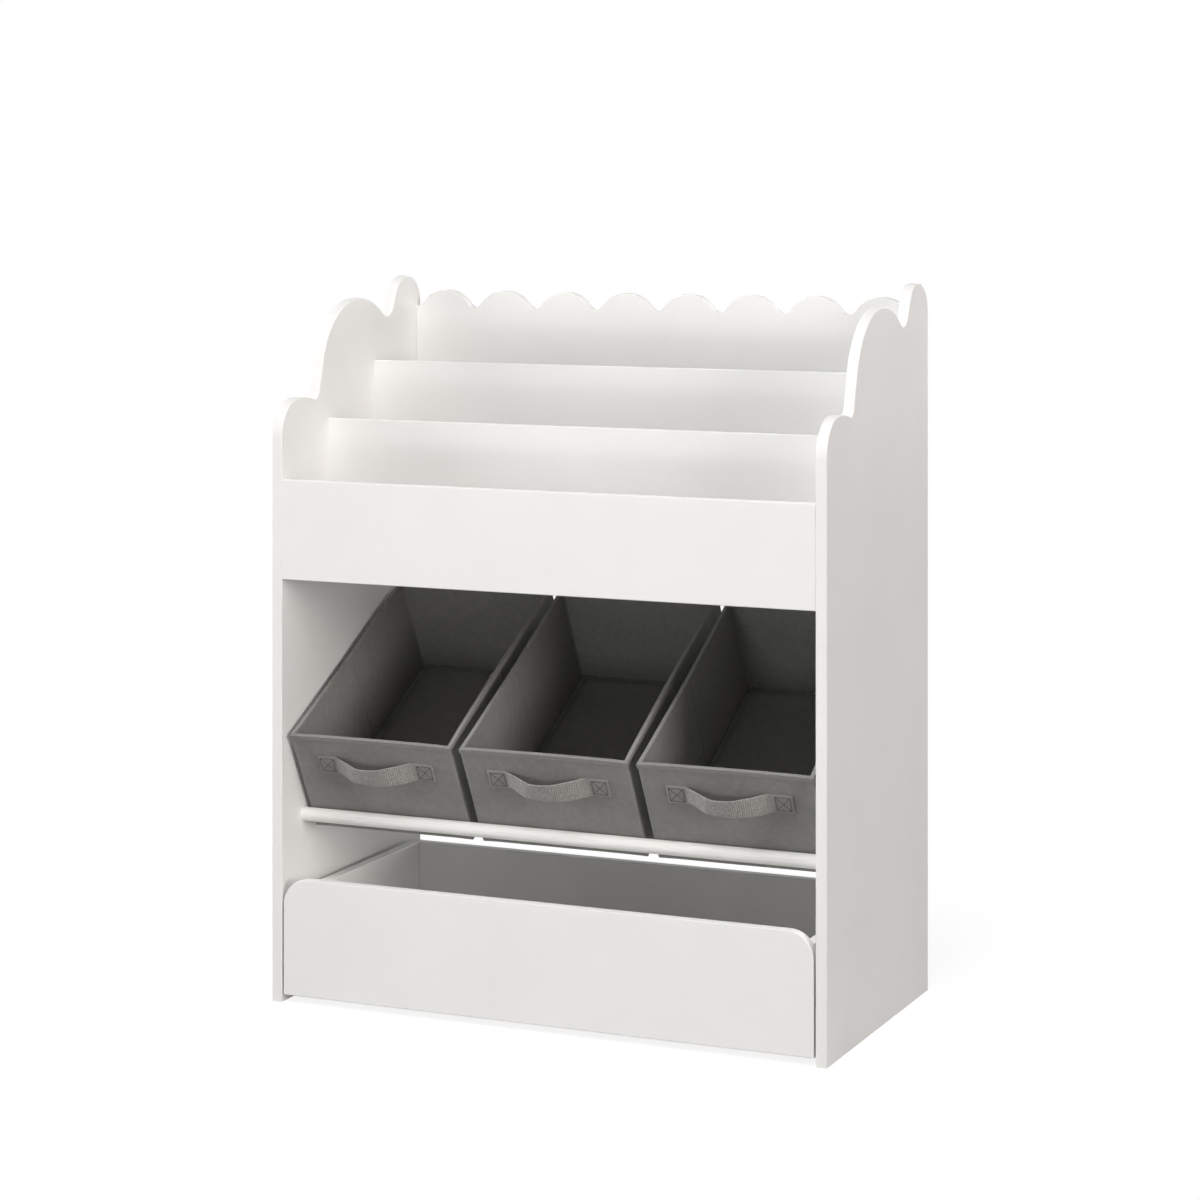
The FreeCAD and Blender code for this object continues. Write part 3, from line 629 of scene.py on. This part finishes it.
# %% Model one shell, level
SHELL_WALL = 2.5 * MM
FLOOR_FABRIC = 1.5 * MM
CELLS = 28
CREASE_HALF = 0.8 * MM
CREASE_DEPTH = 0.9 * MM
FELT_TURN = 1.1 * MM


def bin_shell():
    shell = box_between("shell", low, high)
    pick(shell, "FACE", lambda center, normal: normal.z > 0.5)
    bpy.ops.mesh.delete(type="FACE")
    bpy.ops.mesh.select_all(action="SELECT")
    bpy.ops.mesh.subdivide(number_cuts=CELLS - 1)
    for place in (fold_line - CREASE_HALF, fold_line, fold_line + CREASE_HALF):
        bpy.ops.mesh.select_all(action="SELECT")
        bpy.ops.mesh.bisect(plane_co=(0, place, 0), plane_no=(0, 1, 0))
    done()
    modify(shell, "SOLIDIFY", thickness=SHELL_WALL, offset=-1, use_even_offset=True)
    inner_floor = low.z + SHELL_WALL
    pick(shell, "VERT", lambda co: abs(co.z - inner_floor) < NEAR)
    bpy.ops.transform.translate(value=(0, 0, FLOOR_FABRIC - SHELL_WALL))
    done()
    round_edges(shell, FELT_TURN, 3)
    return shell


def press_crease(shell):
    """Press both faces of the long walls in along the fold line."""
    for vertex in shell.data.vertices:
        on_line = abs(vertex.co.y - fold_line) < NEAR
        if on_line and abs(vertex.normal.x) > 0.5:
            vertex.co.x -= math.copysign(CREASE_DEPTH, vertex.normal.x)
    return shell


shell_pattern = press_crease(bin_shell())
print("faces of one shell:", len(shell_pattern.data.polygons))

# %% [markdown]
# ## Bound rim
#
# A tape folds over the raw top edge and stands a little proud of the walls, inside and out. It is made
# as a box ring: a lidless, floorless box, thickened inwards over the wall, with its top rolled round by
# a wide bevel and its lower edges left thin.

# %% Model one bound rim, level
TAPE_ROLL = 2.0 * MM
RIM_WIDTH = SHELL_WALL + 2 * LAP


def bound_rim():
    rim = box_between("rim", tape_low, tape_high)
    pick(rim, "FACE", lambda center, normal: abs(normal.z) > 0.5)
    bpy.ops.mesh.delete(type="FACE")
    bpy.ops.mesh.select_all(action="SELECT")
    bpy.ops.mesh.subdivide(number_cuts=CELLS - 1)
    done()
    modify(rim, "SOLIDIFY", thickness=RIM_WIDTH, offset=-1, use_even_offset=True)
    top = tape_high.z - NEAR
    pick(rim, "EDGE", lambda a, b: min(a.z, b.z) > top and is_rim_edge(a, b))
    bpy.ops.mesh.bevel(offset=TAPE_ROLL, segments=4, affect="EDGES", clamp_overlap=True)
    done()
    return rim


def is_rim_edge(a, b):
    """True for an edge that runs along the ring and not across it."""
    across_x = abs(a.x - b.x) > NEAR
    across_y = abs(a.y - b.y) > NEAR
    middle = (a + b) / 2
    on_end = abs(middle.y - fold_line) > tape_high.y - fold_line - RIM_WIDTH - NEAR
    on_side = abs(middle.x) > tape_high.x - RIM_WIDTH - NEAR
    return (across_x and not across_y and on_end) or (across_y and not across_x and on_side)


rim_pattern = bound_rim()
print("faces of one rim:", len(rim_pattern.data.polygons))

# %% [markdown]
# ## Bound corners
#
# The four walls meet in upright seams whose edges are bound with a narrow strip. Each strip is a slim
# post around the corner with its edges rounded, a hair prouder than the walls that give beside it.

# %% Model the corner seams, level
SEAM_WIDTH = 3.2 * MM
SEAM_PROUD = 0.15 * MM
SEAM_OFF_FLOOR = 0.4 * MM
SEAM_UNDER_TAPE = 1.0 * MM
SEAM_ROUND = 0.7 * MM


def corner_seams():
    posts = []
    for x in (low.x, high.x):
        for y in (low.y, high.y):
            out = Vector((math.copysign(SEAM_PROUD, x), math.copysign(SEAM_PROUD, y - fold_line), 0))
            inward = Vector((-math.copysign(SEAM_WIDTH, x), math.copysign(SEAM_WIDTH, fold_line - y), 0))
            first = Vector((x, y, low.z + SEAM_OFF_FLOOR)) + out
            second = Vector((x, y, tape_low.z + SEAM_UNDER_TAPE)) + inward
            corners = list(zip(first, second))
            post = box_between("seam", [min(c) for c in corners], [max(c) for c in corners])
            pick_all(post)
            bpy.ops.mesh.bevel(offset=SEAM_ROUND, segments=3, affect="EDGES")
            bpy.ops.mesh.bisect(plane_co=(0, 0, (low.z + high.z) / 2), plane_no=(0, 0, 1))
            done()
            posts.append(post)
    return join("seams", posts)


seam_pattern = corner_seams()
print("faces of four seams:", len(seam_pattern.data.polygons))

# %% [markdown]
# ## Handle
#
# The strap is one flat length of webbing. Its ends lie flat on the front wall as square patches, and
# between them it stands off far enough for a child's hand. It leaves the left patch almost straight,
# turns in a crease that it keeps from its packing, and comes back to the right patch in a soft curve.
# Its lower edge folds a little further right than its upper edge, and is drawn up beside the left patch.
# Two lists say how far the upper and the lower edge stand off along the way, from -1 to 1, and a third
# how far the lower edge is drawn up. Every point of a fine grid is moved between them.

# %% Model one handle, level
handle_low, handle_high = level_box("bin_middle_handle")
STRAP_THICK = 1.6 * MM
PATCH = 22 * MM
SPAN_HALF = (handle_high.x - handle_low.x) / 2 - PATCH
BOW = handle_high.y - handle_low.y - STRAP_THICK
UPPER_EDGE = [(-1, 0), (-0.35, 0.91), (-0.22, 1), (0, 1), (0.2, 0.94), (0.6, 0.45), (0.85, 0.05), (1, 0)]
LOWER_EDGE = [(-1, 0), (-0.45, 0.93), (-0.2, 0.97), (0.1, 0.97), (0.4, 0.84), (0.7, 0.5), (0.92, 0.14),
              (1, 0)]
PULLED = [(-1, 0), (-0.93, 1), (-0.4, 1), (0.3, 0.2), (1, 0)]
EDGE_ROUND = 0.9 * MM
SOFTENING = (-1, -0.5, 0, 0.5, 1)
DRAWN_UP = 3.2 * MM
STRAP_CELLS = (92, 8)
STRAP_ROUND = 0.5 * MM
LOOSE_FROM = 2 * MM


def on_line(points, x):
    """The height at x of a line of straight runs through points."""
    for (x0, y0), (x1, y1) in zip(points, points[1:]):
        if x0 <= x <= x1:
            return y0 + (y1 - y0) * (x - x0) / (x1 - x0)
    return 0.0


def stands_off(x, height):
    """How far the strap's inner face stands off the wall, x from its middle and at a height from 0 to 1."""
    total = 0
    for step in SOFTENING:
        share = (x + step * EDGE_ROUND) / SPAN_HALF
        total += height * on_line(UPPER_EDGE, share) + (1 - height) * on_line(LOWER_EDGE, share)
    return BOW * total / len(SOFTENING)


def draws_up(x):
    """How far the strap's lower edge is drawn up, x from its middle."""
    return DRAWN_UP * on_line(PULLED, x / SPAN_HALF)


def strap_piece():
    width = handle_high.z - handle_low.z
    columns, rows = STRAP_CELLS
    bpy.ops.object.select_all(action="DESELECT")
    bpy.ops.mesh.primitive_grid_add(x_subdivisions=columns, y_subdivisions=rows, size=1,
                                    rotation=(math.pi / 2, 0, 0))
    piece = bpy.context.object
    piece.name = "handle"
    piece.scale = (handle_high.x - handle_low.x, width, 1)
    piece.location = (0, handle_high.y, (handle_low.z + handle_high.z) / 2)
    bpy.ops.object.transform_apply(location=True, rotation=True, scale=True)
    for vertex in piece.data.vertices:
        height = (vertex.co.z - handle_low.z) / width
        vertex.co.y -= stands_off(vertex.co.x, height)
        vertex.co.z += draws_up(vertex.co.x) * (1 - height)
    modify(piece, "SOLIDIFY", thickness=STRAP_THICK, offset=1, use_even_offset=True)
    round_edges(piece, STRAP_ROUND, 2)
    loose = piece.data.attributes.new("loose", "FLOAT", "POINT")
    for vertex in piece.data.vertices:
        loose.data[vertex.index].value = min(1, stands_off(vertex.co.x, 0.5) / LOOSE_FROM)
    return piece


handle_pattern = strap_piece()
handle_front = min(vertex.co.y for vertex in handle_pattern.data.vertices)
print("strap stands off", round((handle_high.y - handle_front) / MM, 1), "mm")

# %% [markdown]
# ## Stitches
#
# One stitch is a short thread with its ends drawn down into the cloth. Rows of it are made with an array
# along a line. A box with a cross holds each end of the strap, a row closes each fold, and a much finer
# one holds the tape, all round the bin.

# %% Model one stitch and repeat it along lines
STITCH_LENGTH = 2.3 * MM
STITCH_PITCH = 2.8 * MM
STITCH_THICK = 0.8 * MM
STITCH_ROUND = 0.14 * MM
DRAWN_DOWN = 0.35 * MM


def one_stitch():
    """A stitch along +X that lies on the plane Y = 0 and stands out towards -Y."""
    half = STITCH_THICK / 2
    stitch = box_between("stitch", (0, -half, -half), (STITCH_LENGTH, half, half))
    pick_all(stitch)
    for share in (0.25, 0.75):
        bpy.ops.mesh.select_all(action="SELECT")
        bpy.ops.mesh.bisect(plane_co=(STITCH_LENGTH * share, 0, 0), plane_no=(1, 0, 0))
    done()
    pick(stitch, "VERT", lambda co: co.x < NEAR or co.x > STITCH_LENGTH - NEAR)
    bpy.ops.transform.translate(value=(0, DRAWN_DOWN, 0))
    done()
    round_edges(stitch, STITCH_ROUND, 1, sharpness=40)
    return stitch


stitch_pattern = one_stitch()


def stitch_row(start, end, outward, fineness=1.0):
    """A row of stitches from start to end, standing out from the cloth along outward."""
    start, end, outward = Vector(start), Vector(end), Vector(outward)
    way = (end - start).normalized()
    count = max(2, round((end - start).length / STITCH_PITCH))
    row = twin(stitch_pattern, "row")
    row.data.transform(Matrix.Diagonal((1, fineness, fineness, 1)))
    pitch = (end - start).length / count
    modify(row, "ARRAY", count=count, use_relative_offset=False, use_constant_offset=True,
           constant_offset_displace=(pitch, 0, 0))
    side = way.cross(-outward)
    turn = Matrix((way, -outward, side)).transposed().to_4x4()
    row.data.transform(Matrix.Translation(start) @ turn)
    return row


# %% Rows on the strap's patches, down the folds and round the tape
PATCH_MARGIN = 3 * MM
TAPE_MARGIN = 1.2 * MM
FOLD_BOTTOM = 8 * MM
FINE_THREAD = 0.35


def patch_rows(center_x):
    """Box and cross on one end of the strap."""
    reach = PATCH / 2 - PATCH_MARGIN
    y = handle_high.y - STRAP_THICK
    middle = (handle_low.z + handle_high.z) / 2
    corner = [Vector((center_x + sx * reach, y, middle + sz * reach)) for sx, sz in
              ((-1, -1), (1, -1), (1, 1), (-1, 1))]
    pairs = [(0, 1), (1, 2), (2, 3), (3, 0), (0, 2), (1, 3)]
    return [stitch_row(corner[a], corner[b], (0, -1, 0)) for a, b in pairs]


def fold_rows(side):
    """Both faces of the sewn fold in a long wall."""
    rows = []
    for face in (-1, 1):
        x = side * (high.x - SHELL_WALL / 2) + face * side * (SHELL_WALL / 2 - CREASE_DEPTH)
        bottom, top = (x, fold_line, low.z + FOLD_BOTTOM), (x, fold_line, tape_low.z)
        rows.append(stitch_row(bottom, top, (face * side, 0, 0)))
    return rows


def dark_stitching():
    rows = fold_rows(-1) + fold_rows(1)
    for side in (-1, 1):
        rows += patch_rows(side * (SPAN_HALF + PATCH / 2))
    return join("stitching", rows)


def rim_stitching():
    z = tape_low.z + TAPE_MARGIN
    near, far = tape_low.y, tape_high.y
    left, right = tape_low.x, tape_high.x
    rows = [
        stitch_row((left, near, z), (right, near, z), (0, -1, 0), FINE_THREAD),
        stitch_row((right, far, z), (left, far, z), (0, 1, 0), FINE_THREAD),
        stitch_row((right, near, z), (right, far, z), (1, 0, 0), FINE_THREAD),
        stitch_row((left, far, z), (left, near, z), (-1, 0, 0), FINE_THREAD),
    ]
    return join("rim_stitching", rows)


stitching_pattern = dark_stitching()
rim_stitching_pattern = rim_stitching()
print("faces of all stitches of one bin:",
      len(stitching_pattern.data.polygons) + len(rim_stitching_pattern.data.polygons))

# %% [markdown]
# ## Base board
#
# A loose board wrapped in felt keeps the floor flat. It is a thin slab whose edges turn over softly and
# whose upper face swells by half a millimetre between them.

# %% Model one base board, level
BOARD_SWELL = 0.5 * MM
BOARD_ROUND = 0.7 * MM
BOARD_MARGIN = 8 * MM


def base_board():
    piece = box_between("base_board", board_low, board_high)
    pick_all(piece)
    bpy.ops.mesh.bevel(offset=BOARD_ROUND, segments=3, affect="EDGES")
    done()
    pick(piece, "FACE", lambda center, normal: normal.z > 0.9)
    bpy.ops.mesh.inset(thickness=BOARD_MARGIN, depth=0)
    bpy.ops.transform.translate(value=(0, 0, BOARD_SWELL))
    done()
    return piece


board_pattern = base_board()
print("faces of one base board:", len(board_pattern.data.polygons))

# %% [markdown]
# ## Three bins
#
# Each bin is a set of copies. They give in their own way, and are tipped by the tilt and moved sideways
# to their place. The copies stand for the stiff panels that the motion study uses.

# %% Copy, settle, tip and place
SEED_STEP = 10.0
bpy.data.objects.remove(stitch_pattern)
PATTERNS = {
    "shell": (shell_pattern, felt, "bin_fabric"),
    "rim_binding": (rim_pattern, tape, "binding_tape"),
    "corner_seams": (seam_pattern, tape, "binding_tape"),
    "handle": (handle_pattern, strap, "webbing"),
    "stitching": (stitching_pattern, thread, "binding_tape"),
    "rim_stitching": (rim_stitching_pattern, tape, "binding_tape"),
    "base_board": (board_pattern, felt, "stiffener_board"),
}
STANDS_FOR = {
    "shell": ("front_wall", "rear_wall", "left_wall", "right_wall", "floor"),
    "rim_binding": ("rim_binding",),
    "handle": ("handle",),
    "base_board": ("base_board",),
}


def place_bin(name, seed):
    """One bin from the patterns, at the place of the ready-made one."""
    prefix = "bin_" + name + "_"
    own_low, own_high = level_box(prefix + "rim_binding")
    aside = (own_low.x + own_high.x) / 2
    for part, (pattern, material, slot) in PATTERNS.items():
        piece = twin(pattern, prefix + "sewn_" + part)
        if part != "base_board":
            settle(piece, seed)
        piece.data.transform(Matrix.Rotation(TILT, 4, "X"))
        piece.data.transform(Matrix.Translation((aside, 0, 0)))
        piece.data.materials.clear()
        piece.data.materials.append(material)
        smooth(piece)
        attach(piece, "bin_" + name + ("_base_board" if part == "base_board" else ""))
        if part in STANDS_FOR:
            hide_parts(*[prefix + stood for stood in STANDS_FOR[part]])


for index, bin_name in enumerate(("left", "middle", "right")):
    place_bin(bin_name, SEED_STEP * index)
for row in PATTERNS.values():
    bpy.data.objects.remove(row[0])

# %% [markdown]
# ## Floor and light
#
# The photograph is on plain white, and lit by soft lamps. Broad ones stand eight metres off to both
# sides, so that the light hardly falls off across the object. One hangs in front and above, two small
# ones low in front reach the leaning fronts of the bins, and one far behind keeps the back readable.
# The floor and the sky are white to the camera and to reflections, and the floor keeps a little of the
# object's shadow.

# %% White floor that keeps a faint shadow
FLOOR_SIZE = 40.0
FLOOR_DROP = 0.2 * MM
FLOOR_GLOW = 0.85
SHADOW_FULL = 0.45
SHADOW_GONE = 0.8
WHITE = (1, 1, 1, 1)
FLOOR_PLAIN = (0.35, 0.35, 0.35, 1)
FLOOR_SHADED = (0.3, 0.3, 0.3, 1)


def seen_directly(tree):
    """1 for rays from the camera and for those that a mirror or glass passes on, else 0."""
    rays = [node(tree, "ShaderNodeLightPath", {}, ray) for ray in
            ("Is Camera Ray", "Is Glossy Ray", "Is Transmission Ray")]
    mirrored = node(tree, MATH, {0: rays[0], 1: rays[1]}, operation="MAXIMUM")
    return node(tree, MATH, {0: mirrored, 1: rays[2]}, operation="MAXIMUM")


def white_floor():
    material = bpy.data.materials.new("white_studio_floor")
    material.use_nodes = True
    tree = material.node_tree
    tree.nodes.clear()
    place = node(tree, "ShaderNodeTexCoord", {}, "Object")
    away = node(tree, "ShaderNodeVectorMath", {0: place}, "Value", operation="LENGTH")
    far = node(tree, RANGE, {"Value": away, "From Min": SHADOW_FULL, "From Max": SHADOW_GONE})
    plain = node(tree, "ShaderNodeBsdfDiffuse", {"Color": FLOOR_PLAIN})
    shaded = node(tree, "ShaderNodeBsdfDiffuse", {"Color": FLOOR_SHADED})
    glow = node(tree, "ShaderNodeEmission", {"Color": WHITE, "Strength": FLOOR_GLOW})
    blank = node(tree, "ShaderNodeEmission", {"Color": WHITE, "Strength": 1.0})
    near_white = node(tree, "ShaderNodeAddShader", {0: shaded, 1: glow})
    white = node(tree, "ShaderNodeMixShader", {0: far, 1: near_white, 2: blank})
    mixed = node(tree, "ShaderNodeMixShader", {0: seen_directly(tree), 1: plain, 2: white})
    node(tree, "ShaderNodeOutputMaterial", {"Surface": mixed})
    return material


bpy.ops.object.select_all(action="DESELECT")
bpy.ops.mesh.primitive_plane_add(size=FLOOR_SIZE, location=(0, 0, -FLOOR_DROP))
floor = bpy.context.object
floor.name = "studio_floor"
floor.data.materials.append(white_floor())
floor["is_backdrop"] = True

# %% Sky
SKY_LEVEL = 0.05

world = bpy.data.worlds.new("studio")
bpy.context.scene.world = world
world.use_nodes = True
studio = world.node_tree
studio.nodes.clear()
sky = node(studio, "ShaderNodeBackground", {"Color": WHITE, "Strength": SKY_LEVEL})
backdrop = node(studio, "ShaderNodeBackground", {"Color": WHITE, "Strength": 1.0})
both = node(studio, "ShaderNodeMixShader", {0: seen_directly(studio), 1: sky, 2: backdrop})
node(studio, "ShaderNodeOutputWorld", {"Surface": both})

# %% Soft lamps: place, width in metres, and watts
WARM = (1.0, 0.95, 0.925)
NEUTRAL = (1.0, 1.0, 1.0)
LAMPS = {
    "overhead_lamp": ((0.1, -1.2, 2.4), 1.2, 36, NEUTRAL),
    "low_lamp": ((0.2, -2.0, 0.5), 1.0, 1.6, NEUTRAL),
    "lowest_lamp": ((0.0, -1.6, 0.12), 0.25, 2.9, NEUTRAL),
    "right_lamp": ((7.3, -3.2, 1.8), 3.0, 320, WARM),
    "left_lamp": ((-7.3, -3.2, 1.8), 3.0, 210, NEUTRAL),
    "far_left_lamp": ((-7.8, -0.8, 1.5), 3.0, 260, NEUTRAL),
    "back_lamp": ((0.5, 7.8, 1.6), 3.0, 250, NEUTRAL),
}
AIM = Vector((0, 0, 0.4))

for name, (place, width, watts, colour) in LAMPS.items():
    bpy.ops.object.select_all(action="DESELECT")
    bpy.ops.object.light_add(type="AREA", location=place)
    lamp = bpy.context.object
    lamp.name = name
    lamp.data.shape = "SQUARE"
    lamp.data.size = width
    lamp.data.energy = watts
    lamp.data.color = colour
    lamp.visible_camera = False
    lamp.rotation_euler = (AIM - Vector(place)).to_track_quat("-Z", "Y").to_euler()
bpy.context.scene.view_settings.view_transform = "Standard"
print("lamps:", len(LAMPS))

# %% [markdown]
# ## Size before and after
#
# The sewn pieces may stand a little proud of the panels that they stand for, but the object keeps its
# size. So both boxes are printed side by side.

# %% Print both boxes
visual_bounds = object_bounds()
spans = [[round(v / MM, 1) for v in (b - a)] for a, b in (cad_bounds, visual_bounds)]
print("size before and after, mm:", spans)
